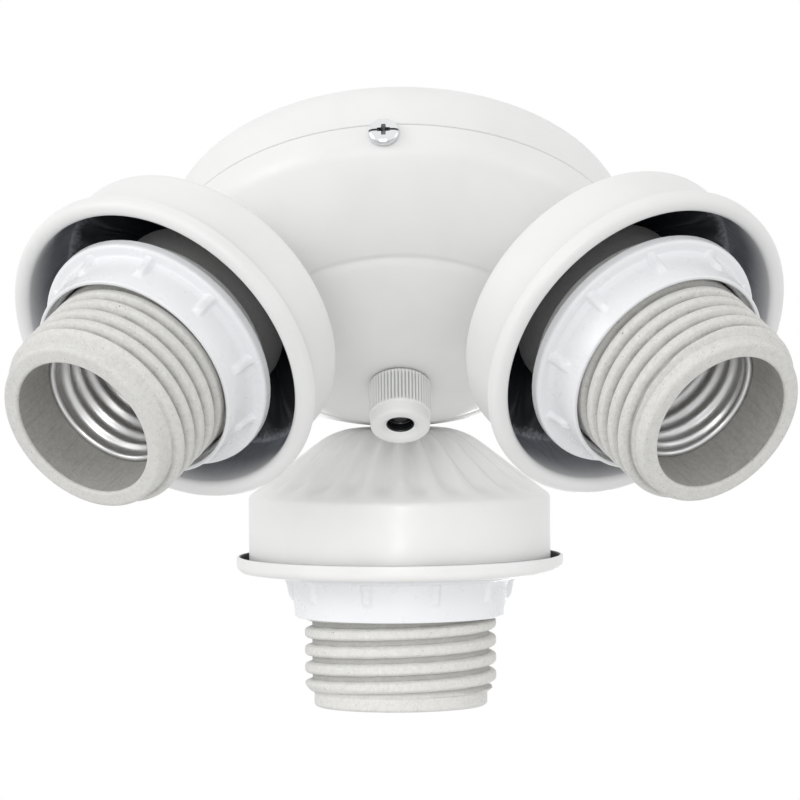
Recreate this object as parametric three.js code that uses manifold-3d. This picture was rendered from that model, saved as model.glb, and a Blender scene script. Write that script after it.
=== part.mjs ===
// Three-arm light kit that hangs under a ceiling fan.
// Millimetres, +Z up. The origin is the centre of the flat top face, which lies against the fan.
// A steel cap and a steel bowl close round a pull switch. Three fluted cups hang on hollow nipples
// screwed through the bowl, and each cup holds a porcelain screw-shell socket with a shade ring.
import * as THREE from "three";
import { mergeVertices } from "three/addons/utils/BufferGeometryUtils.js";
import Module from "manifold-3d";

const wasm = await Module();
wasm.setup();

// Shared sizes
const clearance = 0.3; // between pieces that touch or pass through each other
const overrun = 2; // how far a cutting tool runs past the piece it cuts
const sheet = 0.8; // pressed steel
const turn = 2 * Math.PI;

// Housing: cap and bowl. Depths are below the top face.
const housingRadius = 47;
const shoulderRadius = 8.6;
const seamDepth = 13.2; // cap meets bowl
const bandHeight = 5.6; // the bowl's straight band
const skirtRise = 0.9; // the cap's stepped-in skirt ends this far above the band's end
const ringEdgeRadius = 29.8; // crease between bowl side and bottom dome
const sideHeight = 14.6;
const sideBulge = 1.8;
const domeHeight = 9.8;
const domeBulge = 1.5;
const bossRadius = 8; // flat centre of the bottom dome
const bandDepth = seamDepth + bandHeight;
const skirtDepth = bandDepth - skirtRise;
const ringEdgeDepth = bandDepth + sideHeight;
const bossDepth = ringEdgeDepth + domeHeight;

// Side screws
const sideScrewCount = 3;
const sideScrewTurn = THREE.MathUtils.degToRad(-93.5);
const sideScrewDrop = 2.5; // below the seam
const sideHeadRadius = 3;
const sideHeadHeight = 1.9;
const sideHeadEdge = 0.7;
const sideShankRadius = 1.6;
const sideShankLength = 6.5;

// Threaded pipe and its nuts
const pipeRadius = 5;
const pipeBore = 3.2;
const topPipeRise = 9; // above the top face
const topPipeDrop = 12;
const nutSides = 6;
const nutFlats = 14.3;
const nutHeight = 3.2;
const washerRadius = 8;
const washerHeight = 0.9;
const washerTeeth = 10;
const washerToothDepth = 1.1;

// Pull switch, hung in the boss of the bowl
const backNutHeight = 2.4;
const switchWidth = 22;
const switchDepth = 16;
const switchHeight = 12;
const switchRoof = 2.2; // solid part above the puller's bore
const switchCorner = 2;
const bushingRadius = 4.6;
const pullerRadius = 1.9;
const pullerTipRound = 0.9;
const pullerHeadRadius = 3.2;
const pullerHeadHeight = 3;
const pullerHeadGap = 1; // over the head at rest
const pullerGap = 0.45; // round the puller in the bushing
const pullerReach = 0.4; // of the tip below the bushing
const knurlLength = 7.4;
const knurlWall = 1.3;
const knurlEdge = 0.3;
const collarLength = 3;
const collarStep = 0.25;
const mouthRimWidth = 0.45;
const mouthDepth = 1.1; // bell mouth
const mouthBoreStep = 0.2;
const mouthThickness = 1.2;
const switchFoot = bossDepth - sheet - backNutHeight - 2 * clearance;
const bushingBore = pullerRadius + pullerGap;
const knurlTop = bossDepth + clearance;
const knurlFoot = knurlTop + knurlLength + collarLength;
const bushingFoot = knurlFoot - mouthDepth - mouthThickness - clearance;

// Arms, around the vertical axis
const arms = [
  { name: "left", turn: THREE.MathUtils.degToRad(210) },
  { name: "right", turn: THREE.MathUtils.degToRad(-30) },
  { name: "rear", turn: THREE.MathUtils.degToRad(90) },
];
const seatShare = 0.63; // where a cup sits along the bowl's side, from the band to the ring edge

// Heights along an arm are counted from the cup's outer flat, which lies on the bowl.
// Screw shell, in the middle of all that an arm holds
const shellRadius = 13.9;
const shellWall = 0.6;
const shellProud = 0.4; // over its seat in the porcelain

// Porcelain socket
const socketBack = 12;
const socketBackChamfer = 1.5;
const socketFloor = 22;
const stopTop = 28.3; // front of the collar that stops the shade ring
const stopHeight = 4;
const socketTop = 57.5;
const socketEndLength = 2.5;
const socketEdgeRound = 1;
const mouthLength = 11.5;
const mouthStep = 0.4;
const mouthWall = 3.3;
const threadHeight = 1.9;
const bodyStep = 1.3;
const stopReach = 1.8;
const shellHole = shellRadius + clearance;
const socketMouth = shellHole + mouthStep;
const socketEndRadius = socketMouth + mouthWall;
const threadRadius = socketEndRadius + threadHeight;
const socketBodyRadius = threadRadius - bodyStep;
const stopRadius = threadRadius + stopReach;
const threadTop = socketTop - socketEndLength;
const shellSeat = socketTop - mouthLength;

// Socket screws and centre contact
const socketHeadRadius = 3;
const socketHeadHeight = 1.8;
const socketHeadGap = 1.8; // to the shell's wall
const socketHeadBite = 0.5; // over the shell's lip
const socketScrewRadius = 1.6;
const socketScrewEnd = 7.8;
const socketScrewOffset = shellRadius - shellWall - socketHeadGap - socketHeadRadius;
const contactWidth = 5;
const contactThickness = 0.5;
const contactRoot = -7; // along the arm's upward side
const contactBend = 0.5;
const contactTip = 3.2;
const contactRise = 6.4;
const contactTipDrop = 1;

// Shade ring, screwed over the porcelain against its collar
const ringThreadGap = 0.4;
const ringWall = 2;
const ringFlangeReach = 2.9;
const ringFlangeHeight = 2.4;
const ringLength = 10.3;
const ringLipHeight = 1.2;
const ringRibCount = 10;
const ringRibPhaseShare = 0.5; // of the turn from rib to rib
const ringRibWidth = 1.7;
const ringRibHeight = 1.6;
const ringRibLength = 4.1;
const ringRibSlope = 1.4;
const ringBore = threadRadius + ringThreadGap;
const ringBodyRadius = ringBore + ringWall;
const ringFlangeRadius = ringBodyRadius + ringFlangeReach;
const ringBack = stopTop + clearance;

// Fluted cup: a pressed dome, a straight wall and an open rolled rim
const shadeSpace = 5.25; // between the ring's flange and the cup's wall
const cupFlatRadius = 8;
const cupDomeHeight = 13.9;
const cupDomeBulge = 3.4;
const cupWallLength = 12.5;
const cupCornerRound = 1.2;
const curlReach = 2.6;
const curlHeight = 3.3;
const fluteCount = 24;
const fluteDepth = 1;
const fluteMargin = 1.3; // plain metal inside and outside the flutes
const fluteEase = 0.6; // how soon a flute reaches its depth
const cupRadius = ringFlangeRadius + shadeSpace + sheet;
const curlRadius = cupRadius + curlReach;

// Arm nipple and socket bracket
const nippleInside = 6.8; // reach inside the bowl
const nippleOutside = 7.5; // reach inside the cup
const hubRadius = 7.4;
const strapHeight = 4.5; // underside of the strap
const strapThickness = 1.8;
const strapWidth = 11;
const earReach = 3; // of an ear to either side of its screw
const earThickness = 1.8;
const legThickness = 1.5;

// Leads and wire connectors inside the housing
const leadRadius = 0.95;
const leadSpread = 1.25; // half the distance between the two leads in a nipple
const leadSocketShare = 0.35; // of the way to a socket screw
const leadHoleGap = 0.65;
const leadHoleDepth = 4;
const connectorTurns = { hot: THREE.MathUtils.degToRad(150), neutral: THREE.MathUtils.degToRad(30) };
const connectorReach = 24;
const connectorMouthDepth = 14.5;
const connectorTopDepth = 1.6;
const connectorMouthRadius = 4.2;
const connectorTipRadius = 2.7;
const connectorWall = 1.1;
const connectorCavity = 8;
const connectorPitch = 1.15; // half the distance between leads in a connector
const leadInsert = 4.5;
const leadRise = 4.5; // straight stretch below a connector
const crossingDrop = { hot: 6.5, neutral: 2.3 }; // of a lead over the switch, below the top pipe
const wallRoadDrop = 7.5; // of the leads that stay near the wall
const wallTurnShare = 1 / 3; // of the way from arm to connector
const leadSocketSpread = socketScrewOffset * leadSocketShare;
const crossingDepth = (kind) => topPipeDrop + crossingDrop[kind];
const wallRoadDepth = topPipeDrop + wallRoadDrop;

// Facets of round forms and steps of arcs
const wideFacets = 32;
const midFacets = 18;
const smallFacets = 12;
const screwFacets = 8;
const leadSteps = 1.5; // for each point of a lead's route
const longSteps = 4;
const shortSteps = 3;
const fewSteps = 2;
const weldDistance = 1e-4;

// Materials
const finish = (color, roughness, metalness) =>
  new THREE.MeshStandardMaterial({ color, roughness, metalness });
const whiteCoat = () => finish(0xf1f1ef, 0.45, 0);
const zinc = () => finish(0xb9bab6, 0.4, 0.9);
const chrome = () => finish(0xdadcdd, 0.15, 1);
const brass = () => finish(0xb08d46, 0.35, 1);
const aluminium = () => finish(0xc9cbcc, 0.3, 1);
const porcelain = () => finish(0xd8d5ce, 0.75, 0);
const whitePlastic = () => finish(0xeef2f7, 0.3, 0);
const darkPlastic = () => finish(0x1b1d1f, 0.45, 0);
const blackInsulation = () => finish(0x202020, 0.55, 0);
const whiteInsulation = () => finish(0xe6e4de, 0.55, 0);
const orangePlastic = () => finish(0xc7632a, 0.5, 0);

// Keeps only the shared corner points of a shape and turns its faces outwards.
function weld(geometry) {
  const bare = geometry.index ? geometry.toNonIndexed() : geometry.clone();
  bare.deleteAttribute("normal");
  bare.deleteAttribute("uv");
  const merged = mergeVertices(bare, weldDistance);
  const p = merged.attributes.position;
  const old = merged.index.array;
  const corner = (i) => new THREE.Vector3().fromBufferAttribute(p, i);
  const kept = [];
  let volume = 0;
  for (let i = 0; i < old.length; i += 3) {
    const [a, b, c] = [old[i], old[i + 1], old[i + 2]];
    if (a === b || b === c || c === a) continue;
    kept.push(a, b, c);
    volume += corner(a).dot(corner(b).cross(corner(c)));
  }
  if (volume < 0) kept.reverse();
  merged.setIndex(kept);
  return merged;
}

const solid = (geometry) => {
  const g = weld(geometry);
  return new wasm.Manifold(new wasm.Mesh({
    numProp: 3,
    vertProperties: new Float32Array(g.attributes.position.array),
    triVerts: new Uint32Array(g.index.array),
  }));
};

function fromSolid(body) {
  const m = body.getMesh();
  return new THREE.BufferGeometry()
    .setAttribute("position", new THREE.BufferAttribute(new Float32Array(m.vertProperties), 3))
    .setIndex(new THREE.BufferAttribute(new Uint32Array(m.triVerts), 1));
}

const cut = (geometry, ...tools) =>
  fromSolid(tools.reduce((body, tool) => body.subtract(solid(tool)), solid(geometry)));
const join = (...geometries) => fromSolid(geometries.map(solid).reduce((a, b) => a.add(b)));

// A profile of [radius, height] points, turned once round +Z.
function revolve(profile, facets) {
  const points = profile.map(([r, z]) => new THREE.Vector2(r, z));
  if (profile[0][0] > 0) points.push(points[0].clone());
  return new THREE.LatheGeometry(points, facets).rotateX(Math.PI / 2);
}

const rod = (radius, low, high, facets) =>
  revolve([[0, low], [radius, low], [radius, high], [0, high]], facets);
const tube = (outer, inner, low, high, facets) =>
  revolve([[outer, low], [outer, high], [inner, high], [inner, low]], facets);

// The point at a share of the way along the arc from a to b whose middle stands out by bulge, to the
// right of the way, with the normal on the outside of the bend.
function arcPoint(a, b, bulge, share) {
  const [dx, dz] = [b[0] - a[0], b[1] - a[1]];
  const chord = Math.hypot(dx, dz);
  const half = 2 * Math.atan2(2 * bulge, chord);
  const radius = chord / (2 * Math.sin(half));
  const [ux, uz] = [dx / chord, dz / chord];
  const t = half * (2 * share - 1);
  const along = chord / 2 + radius * Math.sin(t);
  const out = radius * (Math.cos(t) - Math.cos(half));
  const side = Math.sign(radius);
  return {
    point: [a[0] + ux * along + uz * out, a[1] + uz * along - ux * out],
    normal: [side * (ux * Math.sin(t) + uz * Math.cos(t)), side * (uz * Math.sin(t) - ux * Math.cos(t))],
    radius: Math.abs(radius),
  };
}

const arc = (a, b, bulge, steps) =>
  Array.from({ length: steps + 1 }, (_, i) => arcPoint(a, b, bulge, i / steps).point);

// Points round a centre, from the first angle to the last.
function sweep([cr, cz], radius, from, to, steps) {
  return Array.from({ length: steps + 1 }, (_, i) => {
    const t = from + (to - from) * i / steps;
    return [cr + radius * Math.cos(t), cz + radius * Math.sin(t)];
  });
}

// The same line a distance away, on the left of the way along it.
function offset(points, distance) {
  const left = ([x0, z0], [x1, z1]) => {
    const length = Math.hypot(x1 - x0, z1 - z0);
    return [-(z1 - z0) / length, (x1 - x0) / length];
  };
  return points.map((p, i) => {
    const before = i > 0 ? left(points[i - 1], p) : left(p, points[i + 1]);
    const after = i < points.length - 1 ? left(p, points[i + 1]) : before;
    const scale = distance / (1 + before[0] * after[0] + before[1] * after[1]);
    return [p[0] + (before[0] + after[0]) * scale, p[1] + (before[1] + after[1]) * scale];
  });
}

function extrude(outline, height, holes = []) {
  const shape = new THREE.Shape(outline.map(([x, y]) => new THREE.Vector2(x, y)));
  for (const r of holes) shape.holes.push(new THREE.Path().absarc(0, 0, r, 0, turn, true));
  return new THREE.ExtrudeGeometry(shape, {
    depth: height, bevelEnabled: false, curveSegments: smallFacets / 2,
  });
}

// Corners round +Z, each at its own radius.
const star = (radii) => radii.map((r, i) => [
  r * Math.cos(turn * i / radii.length), r * Math.sin(turn * i / radii.length)]);

const nutCorner = nutFlats / 2 / Math.cos(Math.PI / nutSides);
const hexNut = (height, bore, low) =>
  extrude(star(Array(nutSides).fill(nutCorner)), height, [bore]).translate(0, 0, low);

const rectangle = (x0, y0, x1, y1) => [[x0, y0], [x1, y0], [x1, y1], [x0, y1]];
const block = (x0, y0, z0, x1, y1, z1) => extrude(rectangle(x0, y0, x1, y1), z1 - z0).translate(0, 0, z0);

const kit = new THREE.Group();
function place(name, geometry, material, group = kit) {
  const mesh = new THREE.Mesh(weld(geometry), material);
  mesh.name = name;
  group.add(mesh);
}

// Housing outlines, from the outside in
const bandEnd = [housingRadius, -bandDepth];
const ringEdge = [ringEdgeRadius, -ringEdgeDepth];
const bowlOutside = [
  [housingRadius, -seamDepth - clearance],
  ...arc(bandEnd, ringEdge, -sideBulge, longSteps),
  ...arc(ringEdge, [bossRadius, -bossDepth], -domeBulge, shortSteps).slice(1),
  [bushingRadius + clearance, -bossDepth],
];

// Where a cup sits: a point of the bowl's side, and the outward normal there.
const seatArc = arcPoint(bandEnd, ringEdge, -sideBulge, seatShare);
const seat = {
  radius: seatArc.point[0], height: seatArc.point[1],
  out: seatArc.normal[0], drop: -seatArc.normal[1], curve: seatArc.radius,
};

// Turns a piece made along +Z outwards from the housing's axis.
const radial = (geometry, angle, height) =>
  geometry.rotateY(Math.PI / 2).rotateZ(angle).translate(0, 0, height);
const sideScrewHeight = -seamDepth - sideScrewDrop;
const sideScrewTurns = Array.from({ length: sideScrewCount }, (_, i) =>
  sideScrewTurn + turn * i / sideScrewCount);
const sideScrewHole = (angle) => radial(
  rod(sideShankRadius + clearance, housingRadius / 2, housingRadius + overrun, screwFacets),
  angle, sideScrewHeight);

// An arm's own frame: +Z along the arm, +X on its upward side.
function armMatrix(arm) {
  const [c, s] = [Math.cos(arm.turn), Math.sin(arm.turn)];
  const axis = new THREE.Vector3(seat.out * c, seat.out * s, -seat.drop);
  const up = new THREE.Vector3(seat.drop * c, seat.drop * s, seat.out);
  const across = new THREE.Vector3().crossVectors(axis, up);
  const origin = new THREE.Vector3(seat.radius * c, seat.radius * s, seat.height)
    .addScaledVector(axis, clearance);
  return new THREE.Matrix4().makeBasis(up, across, axis).setPosition(origin);
}

function makeCap() {
  const centre = [housingRadius - shoulderRadius, -shoulderRadius];
  const step = housingRadius - sheet - clearance;
  const inner = step - sheet;
  return cut(revolve([
    [pipeRadius + clearance, 0],
    ...sweep(centre, shoulderRadius, Math.PI / 2, 0, longSteps),
    [housingRadius, -seamDepth], [step, -seamDepth], [step, -skirtDepth],
    [inner, -skirtDepth], [inner, -seamDepth + sheet], [housingRadius - sheet, -seamDepth + sheet],
    ...sweep(centre, shoulderRadius - sheet, 0, Math.PI / 2, shortSteps),
    [pipeRadius + clearance, -sheet],
  ], wideFacets), ...sideScrewTurns.map(sideScrewHole));
}

function makeBowl() {
  const inside = offset(bowlOutside, -sheet).reverse();
  const nippleHole = (arm) =>
    rod(pipeRadius + clearance, -nippleInside, nippleOutside, smallFacets).applyMatrix4(armMatrix(arm));
  return cut(revolve([...bowlOutside, ...inside], wideFacets),
    ...sideScrewTurns.map(sideScrewHole), ...arms.map(nippleHole));
}

function makeSideScrew(angle) {
  const under = housingRadius + clearance;
  const edge = [sideHeadRadius, under + sideHeadEdge];
  return radial(revolve([
    [0, under - sideShankLength], [sideShankRadius, under - sideShankLength],
    [sideShankRadius, under], [sideHeadRadius, under],
    ...arc(edge, [0, under + sideHeadHeight], sideHeadEdge / 2, shortSteps),
  ], screwFacets), angle, sideScrewHeight);
}

function makeLockWasher(low) {
  const radii = Array.from({ length: 2 * washerTeeth }, (_, i) =>
    i % 2 ? washerRadius - washerToothDepth : washerRadius);
  return extrude(star(radii), washerHeight, [pipeRadius + clearance]).translate(0, 0, low);
}

// A block whose upright corners are round.
function roundedBlock(width, depth, height, round) {
  const shape = new THREE.Shape();
  const [x, y] = [width / 2 - round, depth / 2 - round];
  shape.absarc(x, y, round, 0, Math.PI / 2);
  shape.absarc(-x, y, round, Math.PI / 2, Math.PI);
  shape.absarc(-x, -y, round, Math.PI, 3 * Math.PI / 2);
  shape.absarc(x, -y, round, 3 * Math.PI / 2, turn);
  return new THREE.ExtrudeGeometry(shape, { depth: height, bevelEnabled: false, curveSegments: fewSteps });
}

const switchBoreTop = -switchFoot + switchHeight - switchRoof;
function makeSwitchBody() {
  const body = roundedBlock(switchWidth, switchDepth, switchHeight, switchCorner);
  return cut(body.translate(0, 0, -switchFoot),
    rod(pullerHeadRadius + clearance, -switchFoot - overrun, switchBoreTop, smallFacets));
}

// Knurled nut: a grooved barrel, a plain collar and a bell mouth for the puller
function makeKnurledNut() {
  const outer = bushingRadius + clearance + knurlWall;
  const collar = outer - collarStep;
  const knurlEnd = -knurlTop - knurlLength;
  const bore = bushingBore + mouthBoreStep;
  const rim = [collar - mouthRimWidth, -knurlFoot];
  const webTop = -knurlFoot + mouthDepth + mouthThickness;
  return revolve([
    [bushingRadius + clearance, -knurlTop], [outer - knurlEdge, -knurlTop], [outer, -knurlTop - knurlEdge],
    [outer, knurlEnd], [collar, knurlEnd - knurlEdge], [collar, -knurlFoot + knurlEdge],
    ...arc(rim, [bore, -knurlFoot + mouthDepth], knurlEdge, fewSteps),
    [bore, webTop], [bushingRadius + clearance, webTop],
  ], midFacets);
}

function makePuller() {
  const foot = -bushingFoot - pullerReach;
  const top = switchBoreTop - pullerHeadGap;
  return revolve([
    [0, foot], [pullerRadius - pullerTipRound, foot], [pullerRadius, foot + pullerTipRound],
    [pullerRadius, top - pullerHeadHeight], [pullerHeadRadius, top - pullerHeadHeight],
    [pullerHeadRadius, top], [0, top],
  ], screwFacets);
}

// The cup's flutes rise and fall round its dome. Its wall and rim have half as many facets as the dome.
function makeCup() {
  const wallTop = cupDomeHeight + cupWallLength;
  const cornerTop = cupDomeHeight + cupCornerRound;
  const curl = (curlReach + sheet) / 2;
  const curlCentre = [cupRadius - sheet + curl, wallTop + curlHeight - curl];
  const domeEdge = [cupRadius - cupCornerRound, cupDomeHeight - cupCornerRound / 2];
  const dome = arc([cupFlatRadius, 0], domeEdge, cupDomeBulge, shortSteps);
  const hole = pipeRadius + clearance;
  const facets = 2 * fluteCount;
  const cup = revolve([
    [hole, 0], ...dome, [cupRadius, cornerTop],
    ...sweep(curlCentre, curl - sheet, Math.PI, 0, fewSteps), [curlRadius - sheet, wallTop],
    [curlRadius, wallTop], ...sweep(curlCentre, curl, 0, Math.PI, fewSteps),
    [cupRadius - sheet, cornerTop], ...offset(dome, sheet).reverse(), [hole, sheet],
  ], facets);
  const p = cup.attributes.position;
  const rows = p.count / (facets + 1);
  const [start, end] = [cupFlatRadius + fluteMargin, cupRadius - fluteMargin];
  for (let i = 0; i < p.count; i++) {
    const column = Math.floor(i / rows);
    if (p.getZ(i) >= cornerTop) {
      if (column % 2) p.setXYZ(i, p.getX(i - rows), p.getY(i - rows), p.getZ(i - rows));
      continue;
    }
    const r = Math.hypot(p.getX(i), p.getY(i));
    if (r <= start || r >= end) continue;
    const fade = Math.sin(Math.PI * (r - start) / (end - start)) ** fluteEase;
    p.setZ(i, p.getZ(i) + (column % 2 ? 1 : -1) * fluteDepth / 2 * fade);
  }
  return cup;
}

// Bracket: a tapped hub and a strap with two inward ears for the socket's screws
function makeBracket() {
  const half = strapWidth / 2;
  const span = socketScrewOffset + earReach;
  const earTop = socketBack - clearance;
  const strapTop = strapHeight + strapThickness;
  const hub = rod(hubRadius, sheet + clearance, strapTop, smallFacets);
  const strap = block(-half, -span, strapHeight, half, span, strapTop);
  const side = (s) => join(
    block(-half, s * span, strapHeight, half, s * (span - legThickness), earTop),
    block(-half, s * span, earTop - earThickness, half, s * (socketScrewOffset - earReach), earTop));
  const tapped = (s) =>
    rod(socketScrewRadius + clearance, strapTop, socketBack, screwFacets)
      .translate(0, s * socketScrewOffset, 0);
  return cut(join(hub, strap, side(1), side(-1)),
    rod(pipeRadius + clearance, 0, strapTop + overrun, smallFacets), tapped(1), tapped(-1));
}

function makeSocket() {
  const body = revolve([
    [0, socketBack], [socketBodyRadius - socketBackChamfer, socketBack],
    [socketBodyRadius, socketBack + socketBackChamfer], [socketBodyRadius, stopTop - stopHeight],
    [stopRadius, stopTop - stopHeight], [stopRadius, stopTop], [threadRadius, stopTop],
    [threadRadius, threadTop - socketEdgeRound], [socketEndRadius, threadTop],
    [socketEndRadius, socketTop - socketEdgeRound], [socketEndRadius - socketEdgeRound, socketTop],
    [socketMouth + socketEdgeRound / 2, socketTop], [socketMouth, socketTop - socketEdgeRound / 2],
    [socketMouth, shellSeat], [shellHole, shellSeat], [shellHole, socketFloor], [0, socketFloor],
  ], midFacets);
  const pair = (radius, height, spread) => [1, -1].map((s) =>
    rod(radius, 0, height, screwFacets).translate(0, s * spread, 0));
  return cut(body,
    ...pair(socketScrewRadius + clearance, socketFloor + overrun, socketScrewOffset),
    ...pair(leadRadius + leadHoleGap, socketBack + leadHoleDepth, leadSocketSpread));
}

function makeShell() {
  const low = socketFloor + clearance;
  const top = shellSeat + shellProud;
  const inner = shellRadius - shellWall;
  const lip = socketScrewOffset + socketHeadRadius - socketHeadBite;
  return revolve([
    [shellRadius, low], [shellRadius, top], [inner, top],
    [inner, low + shellWall], [lip, low + shellWall], [lip, low],
  ], midFacets);
}

function makeSocketScrew(side) {
  const under = socketFloor + shellWall + 2 * clearance;
  return revolve([
    [0, socketScrewEnd], [socketScrewRadius, socketScrewEnd], [socketScrewRadius, under],
    [socketHeadRadius, under], [socketHeadRadius, under + socketHeadHeight / 2],
    [socketHeadRadius / 2, under + socketHeadHeight], [0, under + socketHeadHeight],
  ], screwFacets).translate(0, side * socketScrewOffset, 0);
}

// Centre contact: a sprung strip, rooted at the socket's floor
function makeContact() {
  const low = socketFloor + clearance;
  const spine = [
    [contactRoot, low], [contactBend, low + contactRise],
    [contactTip, low + contactRise - contactTipDrop]];
  return extrude([...spine, ...offset(spine, contactThickness).reverse()], contactWidth)
    .translate(0, 0, -contactWidth / 2).rotateX(Math.PI / 2);
}

// Shade ring: a flanged sleeve with grip ribs. Its bore widens at the back to pass the porcelain's collar.
function makeRing() {
  const flangeTop = ringBack + ringFlangeHeight;
  const top = ringBack + ringLength;
  const leadIn = stopRadius + clearance;
  const lip = (ringBore + ringBodyRadius) / 2;
  const body = revolve([
    [leadIn, ringBack], [ringFlangeRadius, ringBack], [ringFlangeRadius, flangeTop],
    [ringBodyRadius, flangeTop], [ringBodyRadius, top - ringLipHeight], [lip, top],
    [ringBore, top], [ringBore, ringBack + leadIn - ringBore],
  ], midFacets);
  const low = flangeTop - clearance;
  const ribOutline = [
    [lip, low], [ringBodyRadius + ringRibHeight, low],
    [ringBodyRadius + ringRibHeight, flangeTop + ringRibLength - ringRibSlope],
    [ringBodyRadius, flangeTop + ringRibLength], [lip, flangeTop + ringRibLength]];
  const ribs = Array.from({ length: ringRibCount }, (_, i) => extrude(ribOutline, ringRibWidth)
    .translate(0, 0, -ringRibWidth / 2).rotateX(Math.PI / 2)
    .rotateZ(turn * (i + ringRibPhaseShare) / ringRibCount));
  return join(body, ...ribs);
}

const connectorPlace = (kind) => [
  connectorReach * Math.cos(connectorTurns[kind]), connectorReach * Math.sin(connectorTurns[kind]), 0];

// Wire connector: a blunt cone with an open mouth below
function makeConnector(kind) {
  const [mouth, top] = [-connectorMouthDepth, -connectorTopDepth];
  const bore = connectorMouthRadius - connectorWall;
  return revolve([
    [0, top], [connectorTipRadius, top], [connectorMouthRadius, mouth],
    [bore, mouth], [bore, mouth + connectorCavity], [0, mouth + connectorCavity],
  ], smallFacets).translate(...connectorPlace(kind));
}

// A lead's last stretch: straight up into one of the four places in a connector.
function connectorEnd(kind, outer, side) {
  const t = connectorTurns[kind];
  const [cx, cy] = connectorPlace(kind);
  const x = cx + connectorPitch * (outer * Math.cos(t) - side * Math.sin(t));
  const y = cy + connectorPitch * (outer * Math.sin(t) + side * Math.cos(t));
  return [connectorMouthDepth + leadRise, connectorMouthDepth, connectorMouthDepth - leadInsert]
    .map((depth) => new THREE.Vector3(x, y, -depth));
}

// A point of a lead's route inside the housing
const at = (angle, radius, depth) =>
  new THREE.Vector3(radius * Math.cos(angle), radius * Math.sin(angle), -depth);
const routes = {
  nearWall: (arm, kind) => [at(
    arm.turn + (connectorTurns[kind] - arm.turn) * wallTurnShare,
    (seat.radius + connectorReach) / 2 - overrun, wallRoadDepth)],
  overSwitch: (arm, kind) => [
    at(arm.turn, connectorReach - overrun, (crossingDepth(kind) + wallRoadDepth) / 2),
    at(0, 0, crossingDepth(kind))],
};

// A lead runs from its hole in the porcelain through the nipple and the housing to its connector.
function makeLead(arm, kind, side, route, connectorSpot) {
  const inArm = armMatrix(arm);
  const points = [
    [leadSocketSpread, socketBack + leadHoleDepth / 2], [leadSocketSpread, socketBack - leadRadius],
    [leadSpread, nippleOutside], [leadSpread, 0], [leadSpread, -nippleInside],
  ].map(([y, z]) => new THREE.Vector3(0, side * y, z).applyMatrix4(inArm));
  points.push(...routes[route](arm, kind), ...connectorEnd(kind, ...connectorSpot));
  return new THREE.ExtrudeGeometry(new THREE.Shape().absarc(0, 0, leadRadius, 0, turn), {
    steps: Math.round(leadSteps * points.length), curveSegments: shortSteps,
    extrudePath: new THREE.CatmullRomCurve3(points, false, "centripetal"),
  });
}

// Housing
place("mounting_cap", makeCap(), whiteCoat());
place("lower_bowl", makeBowl(), whiteCoat());
sideScrewTurns.forEach((angle, i) => place("side_screw_" + (i + 1), makeSideScrew(angle), chrome()));
place("top_nipple", tube(pipeRadius, pipeBore, -topPipeDrop, topPipeRise, smallFacets), zinc());
const washerLow = -sheet - clearance - washerHeight;
place("top_lock_washer", makeLockWasher(washerLow), zinc());
place("top_nut", hexNut(nutHeight, pipeRadius + clearance, washerLow - clearance - nutHeight), zinc());

// Switch
place("switch_body", makeSwitchBody(), darkPlastic());
place("switch_bushing",
  tube(bushingRadius, bushingBore, -bushingFoot, -switchFoot - clearance, smallFacets), zinc());
place("switch_back_nut",
  hexNut(backNutHeight, bushingRadius + clearance, -bossDepth + sheet + clearance), zinc());
place("switch_knurled_nut", makeKnurledNut(), whiteCoat());
place("switch_puller", makePuller(), darkPlastic());

// Arms. An arm's inner nut meets the hollow side of the bowl with its six corners.
const nutSag = nutCorner ** 2 / (2 * (seat.curve - sheet));
const innerNutLow = -sheet - 2 * clearance - nutSag - nutHeight;
for (const arm of arms) {
  const group = new THREE.Group();
  group.applyMatrix4(armMatrix(arm));
  kit.add(group);
  const add = (piece, geometry, material) => place(arm.name + "_" + piece, geometry, material, group);
  add("cup", makeCup(), whiteCoat());
  add("nipple", tube(pipeRadius, pipeBore, -nippleInside, nippleOutside, smallFacets), zinc());
  add("nipple_nut", hexNut(nutHeight, pipeRadius + clearance, innerNutLow), zinc());
  add("bracket", makeBracket(), zinc());
  add("socket_body", makeSocket(), porcelain());
  add("screw_shell", makeShell(), aluminium());
  add("socket_screw_1", makeSocketScrew(1), zinc());
  add("socket_screw_2", makeSocketScrew(-1), zinc());
  add("center_contact", makeContact(), brass());
  add("shade_ring", makeRing(), whitePlastic());
}

// Wiring: the black leads join in one connector and the white leads in the other.
place("hot_connector", makeConnector("hot"), orangePlastic());
place("neutral_connector", makeConnector("neutral"), orangePlastic());
const [left, right, rear] = arms;
for (const [arm, kind, side, route, connectorSpot] of [
  [rear, "hot", -1, "nearWall", [1, -1]],
  [rear, "neutral", 1, "nearWall", [1, 1]],
  [left, "hot", 1, "nearWall", [1, 1]],
  [left, "neutral", -1, "overSwitch", [-1, 1]],
  [right, "neutral", -1, "nearWall", [1, -1]],
  [right, "hot", 1, "overSwitch", [-1, 1]],
]) {
  const insulation = kind === "hot" ? blackInsulation() : whiteInsulation();
  place(`${arm.name}_${kind}_lead`, makeLead(arm, kind, side, route, connectorSpot), insulation);
}

export default kit;
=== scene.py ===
"""Looks of a three-arm light kit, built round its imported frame. Lengths are in millimetres until they
reach a mesh."""
import math

import bmesh
import bpy
import numpy as np
from mathutils import Matrix, Vector


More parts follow.
